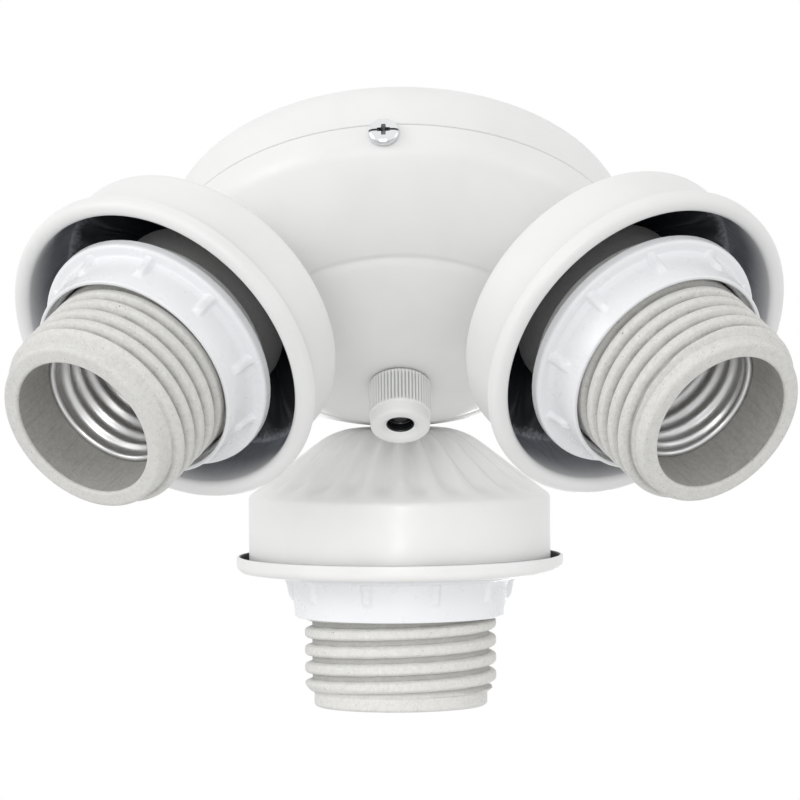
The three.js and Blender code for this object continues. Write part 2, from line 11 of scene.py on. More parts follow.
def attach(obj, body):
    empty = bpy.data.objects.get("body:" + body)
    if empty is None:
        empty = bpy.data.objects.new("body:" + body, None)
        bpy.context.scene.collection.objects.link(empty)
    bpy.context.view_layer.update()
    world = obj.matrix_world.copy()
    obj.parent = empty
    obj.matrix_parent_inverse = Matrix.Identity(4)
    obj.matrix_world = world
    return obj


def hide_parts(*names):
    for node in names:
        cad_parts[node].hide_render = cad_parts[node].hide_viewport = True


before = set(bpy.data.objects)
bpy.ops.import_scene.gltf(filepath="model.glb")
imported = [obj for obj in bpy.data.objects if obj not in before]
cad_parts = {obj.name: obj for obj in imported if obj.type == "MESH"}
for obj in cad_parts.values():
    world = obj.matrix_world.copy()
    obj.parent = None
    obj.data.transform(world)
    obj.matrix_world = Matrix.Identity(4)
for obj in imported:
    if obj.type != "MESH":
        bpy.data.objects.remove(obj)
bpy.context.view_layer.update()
MM = 0.001
TURN = 2 * math.pi

# Sizes shared with the solids
CLEARANCE, SHEET = 0.3, 0.8
HOUSING_R, SHOULDER_R = 47.0, 8.6
SEAM, BAND, SKIRT = 13.2, 18.8, 17.9
RING_EDGE, BOSS = (29.8, -33.4), (8.0, -43.2)
SIDE_BULGE, DOME_BULGE = 1.8, 1.5
SEAT_SHARE = 0.63
ARMS = {"left": math.radians(210), "right": math.radians(-30), "rear": math.radians(90)}
SCREW_TURNS = [math.radians(-93.5) + TURN * i / 3 for i in range(3)]
SCREW_DEPTH, SCREW_HEAD_R, SCREW_SHANK_R, SCREW_PITCH = 15.7, 3.0, 1.6, 0.7
SIDE_SCREW_LENGTH, SOCKET_SCREW_LENGTH = 6.5, 15.4
PIPE_R, PIPE_BORE, PIPE_PITCH = 5.0, 3.2, 0.94
TOP_NIPPLE_ENDS, ARM_NIPPLE_ENDS = (-12, 9), (-6.8, 7.5)
BUSHING_R, BUSHING_BORE, BUSHING_PITCH, BUSHING_ENDS = 4.6, 2.35, 0.8, (-51.3, -39.7)
KNURL_TOP, KNURL_FOOT, KNURL_LENGTH, KNURL_R = -43.5, -53.9, 7.4, 6.2
KNURL_GROOVES, KNURL_DEPTH = 52, 0.42
PULLER_R, PULLER_HEAD_R = 1.9, 3.2
PULLER_FOOT, PULLER_HEAD, PULLER_TOP = -51.7, -33.6, -30.6
CUP_FLAT_R, CUP_R, CUP_DOME, CUP_WALL = 8.0, 31.15, 13.9, 12.5
CUP_KNEE, CUP_BULGE = (17.5, 3.5), 0.85
CURL_R, CURL_H = 33.75, 3.3
FLUTES, FLUTE_DEPTH, FLUTE_START, FLUTE_END = 24, 2.1, (8.8, 15.5), (23.6, 30.6)
SOCKET_FOOT, SOCKET_TOP, SOCKET_END_R, SOCKET_MOUTH_R = 12.0, 57.5, 17.9, 14.6
SOCKET_BODY_R, COLLAR_R, COLLAR_LOW, COLLAR_TOP = 18.5, 21.6, 24.3, 28.3
SOCKET_BORE_R, SOCKET_BORE_FLOOR, SOCKET_BORE_STEP = 14.2, 22.0, 46.0
THREAD_R, THREAD_ROOT, THREAD_PITCH = 19.8, 18.25, 3.63
THREAD_LOW, THREAD_TOP = 29.2, 54.6
SHELL_R, SHELL_LOW, SHELL_TOP, SHELL_FLOOR_R = 13.9, 22.3, 46.4, 11.0
SHELL_WALL, SHELL_WAVE = 0.35, 1.15
SOCKET_SCREW_OFFSET, SOCKET_SCREW_SEAT = 8.5, 23.2
RIBS, FLANGE_R, FLANGE_BACK, SLEEVE_TOP_R, SLEEVE_BORE = 10, 25.1, 28.6, 22.45, 20.3


# Profiles: lists of (radius, height)
def arc_point(a, b, bulge, share):
    """A point and its normal on the arc from a to b whose middle stands out to the right of the way."""
    dx, dz = b[0] - a[0], b[1] - a[1]
    chord = math.hypot(dx, dz)
    half = 2 * math.atan2(2 * bulge, chord)
    radius = chord / (2 * math.sin(half))
    ux, uz = dx / chord, dz / chord
    t = half * (2 * share - 1)
    along = chord / 2 + radius * math.sin(t)
    out = radius * (math.cos(t) - math.cos(half))
    side = math.copysign(1, radius)
    normal = (side * (ux * math.sin(t) + uz * math.cos(t)), side * (uz * math.sin(t) - ux * math.cos(t)))
    point = (a[0] + ux * along + uz * out, a[1] + uz * along - ux * out)
    return point, normal


def arc(a, b, bulge, steps):
    return [arc_point(a, b, bulge, i / steps)[0] for i in range(steps + 1)]


def sweep(centre, radius, start, end, steps):
    """Points round a centre, from the first angle to the last, in degrees."""
    return [(centre[0] + radius * math.cos(t), centre[1] + radius * math.sin(t))
            for t in np.radians(np.linspace(start, end, steps + 1))]


def rounded(corners, steps=5, closed=True):
    """Straight runs between corners (r, z, radius) that are rounded, with a point beside each round."""
    out = []
    n = len(corners)
    for i, corner in enumerate(corners):
        p = np.array(corner[:2], float)
        if len(corner) < 3 or (not closed and i in (0, n - 1)):
            out.append(tuple(p))
            continue
        a = np.array(corners[i - 1][:2], float) - p
        b = np.array(corners[(i + 1) % n][:2], float) - p
        la, lb = np.linalg.norm(a), np.linalg.norm(b)
        a, b = a / la, b / lb
        half = math.acos(max(-1, min(1, float(a @ b)))) / 2
        t = min(corner[2] / math.tan(half), 0.45 * la, 0.45 * lb)
        beside = 1.08 * t
        out.append(tuple(p + a * beside))
        for s in np.linspace(0, 1, steps + 1):
            out.append(tuple((1 - s) ** 2 * (p + a * t) + 2 * s * (1 - s) * p + s ** 2 * (p + b * t)))
        out.append(tuple(p + b * beside))
    return out


def resample(points, step):
    """Evenly spaced points along a line, and how far along each one is."""
    p = np.array(points, float)
    s = np.concatenate([[0], np.cumsum(np.linalg.norm(np.diff(p, axis=0), axis=1))])
    t = np.linspace(0, s[-1], max(2, int(round(s[-1] / step)) + 1))
    return np.stack([np.interp(t, s, p[:, 0]), np.interp(t, s, p[:, 1])], 1), t


def soften(points, width, step=0.25, spots=()):
    """The line with its corners eased by width, and more so at spots (r, z, reach, width)."""
    p, t = resample(points, step)
    w = np.full(len(p), float(width))
    for r, z, reach, wide in spots:
        d = np.hypot(p[:, 0] - r, p[:, 1] - z)
        w = np.maximum(w, wide * np.exp(-(d / reach) ** 2))
    w = np.minimum(w, np.minimum(t, t[-1] - t) / 3 + 1e-6)
    k = np.exp(-0.5 * ((t[:, None] - t[None, :]) / w[:, None]) ** 2)
    k /= k.sum(1, keepdims=True)
    return k @ p


def beside(p, distance):
    """The line moved sideways, to the left of the way along it."""
    d = np.gradient(np.asarray(p, float), axis=0)
    d /= np.linalg.norm(d, axis=1, keepdims=True)
    return np.asarray(p) + np.stack([-d[:, 1], d[:, 0]], 1) * distance


def ease(value, low, high):
    """0 below low, 1 above high and smooth between."""
    t = np.clip((value - low) / (high - low), 0, 1)
    return t * t * (3 - 2 * t)


# Meshes
def make(name, bm, materials, sharp=35):
    bmesh.ops.remove_doubles(bm, verts=bm.verts, dist=1e-7)
    bmesh.ops.recalc_face_normals(bm, faces=bm.faces)
    me = bpy.data.meshes.new(name)
    bm.to_mesh(me)
    bm.free()
    for m in materials:
        me.materials.append(m)
    me.shade_smooth()
    me.set_sharp_from_angle(angle=math.radians(sharp))
    obj = bpy.data.objects.new(name, me)
    bpy.context.collection.objects.link(obj)
    return obj


def lathe(name, profile, angles, materials, warp=None, finish_of=None, sharp=35):
    """Turns a profile round +Z. warp(r, z, a, row) moves the points, and finish_of(row) gives the
    material of the band that follows a row."""
    p = np.asarray(profile, float)
    if isinstance(angles, int):
        angles = np.arange(angles) * TURN / angles
    closed = p[0, 0] > 1e-6 and p[-1, 0] > 1e-6
    n, m = len(p), len(angles)
    r = np.repeat(p[:, :1], m, 1)
    z = np.repeat(p[:, 1:2], m, 1)
    a = np.tile(angles, (n, 1))
    row = np.repeat(np.arange(n)[:, None], m, 1)
    if warp:
        r, z = warp(r, z, a, row)
    xyz = np.stack([r * np.cos(a), r * np.sin(a), z], 2).reshape(-1, 3) * MM
    bm = bmesh.new()
    v = [bm.verts.new(c) for c in xyz]
    for i in range(n if closed else n - 1):
        j = (i + 1) % n
        for k in range(m):
            q = (k + 1) % m
            f = bm.faces.new([v[i * m + k], v[i * m + q], v[j * m + q], v[j * m + k]])
            if finish_of:
                f.material_index = finish_of(i)
    return make(name, bm, materials, sharp)


def loft(name, sections, materials=()):
    """A closed shape through outlines of equally many (x, y, z) points."""
    bm = bmesh.new()
    rings = [[bm.verts.new([c * MM for c in p]) for p in s] for s in sections]
    for a, b in zip(rings, rings[1:]):
        for k in range(len(a)):
            q = (k + 1) % len(a)
            bm.faces.new([a[k], a[q], b[q], b[k]])
    bm.faces.new(rings[0])
    bm.faces.new(rings[-1])
    return make(name, bm, materials, 40)


def carve(obj, cutters):
    """Cuts closed shapes out of a piece. A cut takes the cutter's material."""
    for cutter in cutters:
        mod = obj.modifiers.new("cut", "BOOLEAN")
        mod.object = cutter
        mod.operation = "DIFFERENCE"
        mod.solver = "EXACT"
        mod.material_mode = "TRANSFER"
        bpy.context.view_layer.objects.active = obj
        bpy.ops.object.modifier_apply(modifier=mod.name)
        bpy.data.objects.remove(cutter)
    obj.data.shade_smooth()
    obj.data.set_sharp_from_angle(angle=math.radians(30))
    return obj


def put(obj, body, node, matrix=None):
    """Keeps the piece's own coordinates for its materials, moves its mesh to its place, and lets it
    stand for its CAD node on its body."""
    me = obj.data
    own = np.empty(len(me.vertices) * 3, np.float32)
    me.vertices.foreach_get("co", own)
    me.attributes.new("place", "FLOAT_VECTOR", "POINT").data.foreach_set("vector", own)
    if matrix is not None:
        me.transform(matrix)
    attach(obj, body)
    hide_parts(node)


# Materials
class Surface:
    """A node material in the piece's own space. Its colour and roughness vary, and it has relief."""

    def __init__(self, name, color, rough, metal=0.0, made=True, **sockets):
        self.m = bpy.data.materials.new(name)
        self.m.use_nodes = True
        self.t = self.m.node_tree
        self.bsdf = self.t.nodes["Principled BSDF"]
        if made:
            self.coords = self.node("ShaderNodeAttribute", attribute_name="place").outputs["Vector"]
        else:
            self.coords = self.node("ShaderNodeTexCoord").outputs["Object"]
        self.seed = self.math("MULTIPLY", self.node("ShaderNodeObjectInfo").outputs["Random"], 7.0)
        self.color = color
        self.height = None
        self.bsdf.inputs["Metallic"].default_value = metal
        self.bsdf.inputs["Roughness"].default_value = rough
        for key, value in sockets.items():
            self.bsdf.inputs[key.replace("_", " ")].default_value = value

    def node(self, kind, **settings):
        n = self.t.nodes.new(kind)
        for key, value in settings.items():
            setattr(n, key, value)
        return n

    def feed(self, socket, value):
        if isinstance(value, (int, float)):
            socket.default_value = value
        elif isinstance(value, tuple):
            socket.default_value = (*value, 1.0)
        else:
            self.t.links.new(value, socket)

    def math(self, operation, a, b=0.0, clamp=False):
        n = self.node("ShaderNodeMath", operation=operation, use_clamp=clamp)
        self.feed(n.inputs[0], a)
        self.feed(n.inputs[1], b)
        return n.outputs[0]

    def noise(self, size, detail=2.0, roughness=0.5, stretch=None):
        """Noise from 0 to 1 whose features are about size millimetres. stretch draws it out along x, y
        and z."""
        n = self.node("ShaderNodeTexNoise", noise_dimensions="4D")
        vector = self.coords
        if stretch:
            scale = self.node("ShaderNodeVectorMath", operation="MULTIPLY")
            self.t.links.new(vector, scale.inputs[0])
            scale.inputs[1].default_value = [1 / s for s in stretch]
            vector = scale.outputs[0]
        self.t.links.new(vector, n.inputs["Vector"])
        self.t.links.new(self.seed, n.inputs["W"])
        n.inputs["Scale"].default_value = 1 / (size * MM)
        n.inputs["Detail"].default_value = detail
        n.inputs["Roughness"].default_value = roughness
        return n.outputs["Fac"]

    def cells(self, size):
        """Distance to scattered points, where 1 is about size millimetres."""
        n = self.node("ShaderNodeTexVoronoi", voronoi_dimensions="4D")
        self.t.links.new(self.coords, n.inputs["Vector"])
        self.t.links.new(self.seed, n.inputs["W"])
        n.inputs["Scale"].default_value = 1 / (size * MM)
        return n.outputs["Distance"]

    def map(self, value, low, high, to_low=0.0, to_high=1.0, smooth=False):
        n = self.node("ShaderNodeMapRange", interpolation_type="SMOOTHSTEP" if smooth else "LINEAR")
        self.feed(n.inputs["Value"], value)
        ends = {"From Min": low, "From Max": high, "To Min": to_low, "To Max": to_high}
        for key, end in ends.items():
            n.inputs[key].default_value = end
        return n.outputs["Result"]

    def along(self):
        """The height along the piece's own axis, in millimetres."""
        split = self.node("ShaderNodeSeparateXYZ")
        self.t.links.new(self.coords, split.inputs[0])
        return self.math("MULTIPLY", split.outputs[2], 1 / MM)

    def across(self):
        """The distance from the piece's own axis, in millimetres."""
        flat = self.node("ShaderNodeVectorMath", operation="MULTIPLY")
        self.t.links.new(self.coords, flat.inputs[0])
        flat.inputs[1].default_value = (1, 1, 0)
        length = self.node("ShaderNodeVectorMath", operation="LENGTH")
        self.t.links.new(flat.outputs[0], length.inputs[0])
        return self.math("MULTIPLY", length.outputs["Value"], 1 / MM)

    def tint(self, other, mask):
        """Lays another colour over the present one where the mask is 1."""
        n = self.node("ShaderNodeMix", data_type="RGBA")
        self.feed(n.inputs["Factor"], mask)
        self.feed(n.inputs["A"], self.color)
        self.feed(n.inputs["B"], other)
        self.color = n.outputs["Result"]
        return self

    def rough(self, value):
        self.feed(self.bsdf.inputs["Roughness"], value)
        return self

    def relief(self, value, depth):
        """Adds height: value times depth, in millimetres."""
        added = self.math("MULTIPLY", value, depth)
        self.height = added if self.height is None else self.math("ADD", self.height, added)
        return self

    def done(self):
        self.feed(self.bsdf.inputs["Base Color"], self.color)
        if self.height is not None:
            n = self.node("ShaderNodeBump")
            n.inputs["Strength"].default_value = 1.0
            n.inputs["Distance"].default_value = MM
            self.feed(n.inputs["Height"], self.height)
            self.t.links.new(n.outputs[0], self.bsdf.inputs["Normal"])
        return self.m


def powder(name, knurl=False):
    """White powder coat: a faint orange peel, patches of slightly thinner coat and a few specks. In a
    knurl's grooves it is darkened grey as painted shade."""
    s = Surface(name, (0.87, 0.87, 0.865), 0.38, Specular_IOR_Level=0.45)
    s.tint((0.80, 0.80, 0.79), s.map(s.noise(14, 3), 0.45, 0.75, 0, 0.5))
    s.tint((0.60, 0.59, 0.56), s.map(s.cells(2.6), 0.035, 0.02, 0, 0.3))
    if knurl:
        # Painted shade: the knurl's grooves are tinted grey.
        low = s.map(s.across(), KNURL_R - 0.06, KNURL_R - 0.38, 0, 0.75)
        knurled = s.map(s.along(), KNURL_TOP - KNURL_LENGTH, KNURL_TOP - KNURL_LENGTH + 0.3)
        s.tint((0.36, 0.365, 0.37), s.math("MULTIPLY", low, knurled))
    s.rough(s.map(s.noise(5, 3), 0.3, 0.7, 0.30, 0.46))
    return s.relief(s.noise(1.3), 0.014).relief(s.noise(0.35, 1), 0.003).done()


def cup_inside():
    """Brushed blue-grey steel, nearly black with painted shade in the depth of a cup, and white overspray
    that thins out away from the rim."""
    s = Surface("cup_inside", (0.70, 0.73, 0.80), 0.36)
    grain = s.noise(0.45, 3, stretch=(1, 1, 9))
    ragged = s.math("ADD", s.along(), s.map(s.noise(0.7, 4, 0.7), 0.2, 0.8, -0.6, 0.6))
    s.tint((0.44, 0.46, 0.53), s.map(s.noise(11, 3), 0.44, 0.70, smooth=True))
    s.tint((0.30, 0.315, 0.365), s.map(grain, 0.52, 0.75, 0, 0.6))
    # Painted shade: nearly black in the depth of the cup.
    depth = s.map(ragged, CUP_DOME + 1.2, CUP_DOME - 0.8, smooth=True)
    s.tint((0.022, 0.024, 0.03), depth)
    spray = s.math("POWER", s.map(ragged, CUP_DOME + 3.5, CUP_DOME + 14.9, smooth=True), 1.3)
    s.tint((0.80, 0.80, 0.81), spray)
    bare = s.math("SUBTRACT", s.math("SUBTRACT", 1.0, spray), depth, clamp=True)
    s.feed(s.bsdf.inputs["Metallic"], s.math("MULTIPLY", bare, 0.30))
    s.rough(s.map(grain, 0.3, 0.7, 0.32, 0.46))
    return s.relief(s.noise(2.2), 0.008).relief(grain, 0.0015).done()


def porcelain(name, color, dark, streaks=False, groove_shade=False):
    """Unglazed porcelain: mottled, gritty and pitted, with dark specks. On the socket, its thread's
    grooves and its body behind the collar are darkened as painted shade."""
    s = Surface(name, color, 0.66, Specular_IOR_Level=0.3)
    s.tint(dark, s.map(s.noise(1.0, 5, 0.75), 0.42, 0.70, 0, 0.75))
    s.tint(tuple(min(1.0, c * 1.14) for c in color), s.map(s.noise(0.38), 0.56, 0.72, 0, 0.6))
    if groove_shade:
        # Painted shade in the thread's grooves and on the body behind the collar.
        edge = s.math("ADD", s.across(), s.map(s.noise(0.8), 0.3, 0.7, -0.12, 0.12))
        low = s.map(edge, THREAD_ROOT + 0.75, THREAD_ROOT, 0, 0.65)
        threaded = s.map(s.along(), THREAD_TOP - 0.2, THREAD_TOP - 1.2)
        s.tint(tuple(0.42 * c for c in color), s.math("MULTIPLY", low, threaded))
        collar_shade = s.map(s.along(), COLLAR_LOW + 0.3, COLLAR_LOW - 0.3, 0, 0.7)
        s.tint(tuple(0.4 * c for c in color), collar_shade)
    if streaks:
        s.tint(dark, s.map(s.noise(0.5, 3, 0.6, (1, 1, 14)), 0.5, 0.68, 0, 0.6))
    s.tint((0.17, 0.15, 0.13), s.map(s.cells(2.4), 0.085, 0.055, 0, 0.85))
    fine = s.math("MULTIPLY", s.map(s.cells(1.0), 0.13, 0.08), s.map(s.noise(2.2), 0.5, 0.56))
    s.tint((0.27, 0.25, 0.22), s.math("MULTIPLY", fine, 0.8))
    s.tint((0.26, 0.245, 0.22), s.map(s.noise(0.3, 1), 0.70, 0.75, 0, 0.8))
    s.rough(s.map(s.noise(0.8, 3), 0.3, 0.7, 0.55, 0.8))
    s.relief(s.noise(0.5, 4, 0.65), 0.13).relief(s.noise(2.6), 0.06)
    return s.relief(s.map(s.cells(1.7), 0.14, 0.03), -0.07).done()


def metal(name, color, dark, rough, size=6, streak=0.8, stretch=None, depth=0.004, made=True):
    s = Surface(name, color, rough, 1.0, made)
    s.tint(dark, s.map(s.noise(size, 4, 0.6), 0.4, 0.75, 0, 0.7))
    fine = s.noise(streak, 3, stretch=stretch)
    s.rough(s.map(fine, 0.25, 0.75, rough * 0.7, rough * 1.35))
    return s.relief(fine, depth).done()


def plastic(name, color, dark, rough, depth=0.006, made=True, **sockets):
    s = Surface(name, color, rough, 0.0, made, **sockets)
    s.tint(dark, s.map(s.noise(7, 3), 0.42, 0.72, 0, 0.5))
    s.rough(s.map(s.noise(2.5, 3), 0.3, 0.7, rough * 0.8, rough * 1.25))
    return s.relief(s.noise(0.5), depth).relief(s.noise(5), depth * 4).done()


WHITE = powder("white_powder_coat")
# The knurl's material carries painted shade in its grooves.
KNURL_GROOVE_SHADE = powder("white_knurl_groove_shade", knurl=True)
INSIDE = cup_inside()
# Dark bare steel darkened as painted shade, for the curl's groove and the walls of drilled holes.
HEM_SHADE = metal("hem_steel_painted_shade", (0.07, 0.07, 0.08), (0.03, 0.03, 0.035), 0.5)
# The outside porcelain carries painted shade in its grooves and behind the collar.
CERAMIC = porcelain("porcelain_outside", (0.76, 0.755, 0.73), (0.62, 0.615, 0.59), groove_shade=True)
# The bore is a darker copy of the porcelain, painted shade; its streaks are its own marks.
BORE_SHADE = porcelain("porcelain_bore_painted_shade", (0.47, 0.465, 0.445), (0.33, 0.325, 0.31), streaks=True)
ALUMINIUM = metal("shell_aluminium", (0.93, 0.93, 0.93), (0.80, 0.80, 0.81), 0.36, 6, 0.5,
                  (9, 9, 0.4), 0.003)
ZINC = metal("zinc_plate", (0.62, 0.61, 0.57), (0.42, 0.42, 0.38), 0.34)
CHROME = metal("chrome_plate", (0.80, 0.81, 0.82), (0.62, 0.63, 0.65), 0.15, depth=0.002)
# Painted shade: dark grey in screw slots and cross recesses.
RECESS_SHADE = metal("screw_recess_painted_shade", (0.24, 0.24, 0.24), (0.10, 0.10, 0.10), 0.4)
BRASS = metal("contact_brass", (0.60, 0.44, 0.17), (0.33, 0.23, 0.09), 0.32, 6, 0.4, (1, 9, 1))
RING = plastic("shade_ring_plastic", (0.90, 0.91, 0.93), (0.87, 0.88, 0.90), 0.30, 0.0015,
               Coat_Weight=0.2, Coat_Roughness=0.2)
# Black plastic of the puller, also used as painted shade in the bores of the nut and the bushing.
BLACK_AND_SHADE = plastic("black_plastic", (0.008, 0.009, 0.010), (0.02, 0.02, 0.022), 0.32, 0.01)


# Frames
(SEAT_R, SEAT_Z), (OUT, FALL) = arc_point((HOUSING_R, -BAND), RING_EDGE, -SIDE_BULGE, SEAT_SHARE)


def arm_frame(turn):
    """An arm's own frame: +Z along the arm, +X on its upward side, zero at the cup's outer flat."""
    c, s = math.cos(turn), math.sin(turn)
    along = Vector((OUT * c, OUT * s, FALL))
    up = Vector((-FALL * c, -FALL * s, OUT))
    m = Matrix((up, along.cross(up), along)).transposed().to_4x4()
    m.translation = (Vector((SEAT_R * c, SEAT_R * s, SEAT_Z)) + along * CLEARANCE) * MM
    return m


def radial_frame(turn):
    """A side screw's frame: +Z outwards, zero on the housing's axis."""
    return (Matrix.Translation((0, 0, -SCREW_DEPTH * MM)) @ Matrix.Rotation(turn, 4, "Z")
            @ Matrix.Rotation(math.pi / 2, 4, "Y"))


def drill(radius, low, high, matrix):
    """A closed rod that carve cuts a hole with."""
    # The cut hole's walls take this rod's painted shade.
    obj = lathe("drill", [(0, low), (radius, low), (radius, high), (0, high)], 48, [HEM_SHADE])
    obj.matrix_world = matrix
    return obj


# Housing
def screw_drills():
    return [drill(SCREW_SHANK_R + CLEARANCE, RING_EDGE[0], HOUSING_R + 3, radial_frame(t))
            for t in SCREW_TURNS]


def housing_cap():
    centre = (HOUSING_R - SHOULDER_R, -SHOULDER_R)
    skirt = HOUSING_R - SHEET - CLEARANCE
    shoulder = sweep(centre, SHOULDER_R, 90, 0, 40)
    outside = soften([(PIPE_R + CLEARANCE, 0), *shoulder, (HOUSING_R, -SEAM)], 0.35, 0.4)
    seam = rounded([(HOUSING_R, -SEAM + 1.0), (HOUSING_R, -SEAM, 0.4), (skirt, -SEAM, 0.2),
                    (skirt, -SKIRT), (skirt - SHEET, -SKIRT), (skirt - SHEET, -SEAM + SHEET)],
                   closed=False)
    inside = [(HOUSING_R - SHEET, -SEAM + SHEET), *sweep(centre, SHOULDER_R - SHEET, 0, 90, 24),
              (PIPE_R + CLEARANCE, -SHEET)]
    cap = lathe("housing_cap", [*outside[:-3], *seam, *inside], 144, [WHITE])
    put(carve(cap, screw_drills()), "fixture", "mounting_cap")


def housing_bowl():
    side = arc((HOUSING_R, -BAND), RING_EDGE, -SIDE_BULGE, 24)
    dome = arc(RING_EDGE, BOSS, -DOME_BULGE, 16)
    edge_r, edge_z = RING_EDGE
    crease = [(edge_r + 0.5, edge_z + 0.35), (edge_r - 0.1, edge_z + 0.4), (edge_r - 0.6, edge_z - 0.3)]
    top = -SEAM - 0.1
    hole = (BUSHING_R + CLEARANCE, BOSS[1])
    outside = soften([(HOUSING_R, top), *side[:-1], *crease, *dome[1:], hole],
                     0.24, 0.3, [(HOUSING_R, -BAND, 3.0, 1.2), (*BOSS, 2, 0.6)])
    inside = beside(outside, -SHEET)[::-1]
    inside[0, 0] = outside[-1, 0]
    lip = rounded([tuple(inside[-4]), (HOUSING_R - SHEET, top, 0.2), (HOUSING_R, top, 0.4),
                   tuple(outside[3])], closed=False)
    bowl = lathe("housing_bowl", [*outside[3:], *inside[:-4], *lip[:-1]], 144, [WHITE])
    pipes = [drill(PIPE_R + CLEARANCE, -6, 6, arm_frame(t)) for t in ARMS.values()]
    put(carve(bowl, screw_drills() + pipes), "fixture", "lower_bowl")


# Threads and screws
def thread_rows(radius, low, high, pitch, per_turn=7):
    count = int((high - low) / pitch * per_turn)
    return [(radius, z) for z in np.linspace(low, high, count + 1)]


def vee(r, z, a, low, high, pitch):
    """Cuts a helical thread, which runs out at both ends, into a straight side."""
    end = np.clip(np.minimum(z - low, high - z) / pitch, 0, 1)
    wave = 0.5 - 0.5 * np.cos(TURN * z / pitch - a)
    return r - 0.45 * pitch * wave - 0.35 * pitch * (1 - end)


def threaded_pipe(name, node, ends, outer, bore, pitch, matrix=None, bore_finish=None):
    low, high = ends
    side = thread_rows(outer, low, high, pitch)
    profile = [(bore + 0.15, low), *side, (bore + 0.15, high), (bore, high - 0.2), (bore, low + 0.2)]

    def warp(r, z, a, row):
        return np.where((row > 0) & (row <= len(side)), vee(r, z, a, low, high, pitch), r), z

    def finish(row):
        return 0 if 0 < row < len(side) else 1

    pipe = lathe(name, profile, 48, [ZINC, bore_finish or ZINC], warp, finish)
    put(pipe, "fixture", node, matrix)


def cross_outline(length, width, height, crossways):
    """One bar of a cross recess, a little wider where the bars meet."""
    middle = width * 1.1
    half = [(length, width), (width, middle), (-width, middle), (-length, width)]
    bar = [(-x, -y) for x, y in half] + half
    return [(-y, x, height) if crossways else (x, y, height) for x, y in bar]


def screw(name, head, length, spin, slot_half, cross, metal_of, node, matrix):
    """A screw whose head rests at zero. head is its profile from the rim to the middle."""
    shank = thread_rows(SCREW_SHANK_R, -length + 0.5, -0.2, SCREW_PITCH)
    profile = [(0, -length), (SCREW_SHANK_R - 0.5, -length), *shank, *head]

    def warp(r, z, a, row):
        threaded = (row > 1) & (row <= 1 + len(shank))
        return np.where(threaded, vee(r, z, a, -length, 0, SCREW_PITCH), r), z

    piece = lathe(name, profile, 60, [metal_of], warp)
    top = head[-1][1]
    wide = SCREW_HEAD_R + 0.5
    corners = [(-wide, -slot_half), (wide, -slot_half), (wide, slot_half), (-wide, slot_half)]
    cuts = [loft("slot", [[(x, y, h) for x, y in corners] for h in (top - 0.6, top + 0.5)], [RECESS_SHADE])]
    for crossways in (False, True) if cross else ():
        low = cross_outline(0.5, 0.25, top - 1.2, crossways)
        high = cross_outline(1.7, 0.5, top + 0.5, crossways)
        cuts.append(loft("cross", [low, high], [RECESS_SHADE]))
    put(carve(piece, cuts), "fixture", node, matrix @ Matrix.Rotation(math.radians(spin), 4, "Z"))


def side_screw(index, turn):
    head = rounded([(SCREW_SHANK_R, -0.01), (2.85, 0.0, 0.1), (SCREW_HEAD_R, 0.15, 0.1),
                    (SCREW_HEAD_R, 0.95, 0.5), (2.3, 1.36, 1.2), (0, 1.5)], 6, closed=False)
    place = radial_frame(turn) @ Matrix.Translation((0, 0, (HOUSING_R + CLEARANCE) * MM))
    node = f"side_screw_{index}"
    screw(f"{node}_head", head, SIDE_SCREW_LENGTH, 90 + 67 * (index - 1), 0.24, True, CHROME,
          node, place)


def socket_screw(arm, number, matrix):
    head = rounded([(SCREW_SHANK_R, -0.01), (SCREW_HEAD_R, 0, 0.1), (SCREW_HEAD_R, 1.1, 0.7),
                    (1.2, 1.8, 1.0), (0, 1.8)], closed=False)
    side = 1 if number == 1 else -1
    seat = Vector((0, side * SOCKET_SCREW_OFFSET, SOCKET_SCREW_SEAT)) * MM
    node = f"{arm}_socket_screw_{number}"
    screw(f"{node}_head", head, SOCKET_SCREW_LENGTH, 30 + 57 * number, 0.35, False, ZINC,
          node, matrix @ Matrix.Translation(seat))


# Pull switch
def knurled_nut():
    top, foot, end = KNURL_TOP, KNURL_FOOT, KNURL_TOP - KNURL_LENGTH
    inner, bore, collar, mouth_r = BUSHING_R + CLEARANCE, BUSHING_BORE + 0.2, KNURL_R - 0.25, 3.9
    rows = [(KNURL_R, z) for z in np.linspace(top - 0.3, end + 0.15, 12)]
    crown = rounded([(inner, top), (KNURL_R - 0.3, top, 0.1), rows[0]], closed=False)
    base = rounded([rows[-1], (KNURL_R, end, 0.1), (collar, end - 0.3, 0.15), (collar, foot, 0.9),
                    (mouth_r, foot, 1.6), (bore, foot + 1.1, 0.6), (bore, foot + 2.3),
                    (inner, foot + 2.3)], 8, closed=False)
    profile = [*crown, *rows[1:], *base[1:]]

    def knurl(r, z, a, row):
        depth = np.clip(np.minimum(top - 0.2 - z, z - end - 0.05) / 0.35, 0, 1)
        groove = 1 - np.abs(np.cos(KNURL_GROOVES / 2 * a))
        return np.where(r > collar + 0.02, r - KNURL_DEPTH * groove ** 0.8 * depth, r), z

    # Past the mouth the nut's bore is painted black as shade.
    mouth = next(i for i, (r, z) in enumerate(profile) if r < mouth_r - 0.7 and z < end)

    def finish(row):
        return 1 if row >= mouth else 0

    piece = lathe("knurled_nut", profile, KNURL_GROOVES * 8, [KNURL_GROOVE_SHADE, BLACK_AND_SHADE], knurl, finish, sharp=70)
    put(piece, "fixture", "switch_knurled_nut")


def puller():
    profile = rounded([(0, PULLER_FOOT), (PULLER_R, PULLER_FOOT, 1.2), (PULLER_R, PULLER_HEAD, 0.1),
                       (PULLER_HEAD_R, PULLER_HEAD, 0.2), (PULLER_HEAD_R, PULLER_TOP, 0.3),
                       (0, PULLER_TOP)], 8, closed=False)
    put(lathe("puller_rod", profile, 48, [BLACK_AND_SHADE]), "puller", "switch_puller")


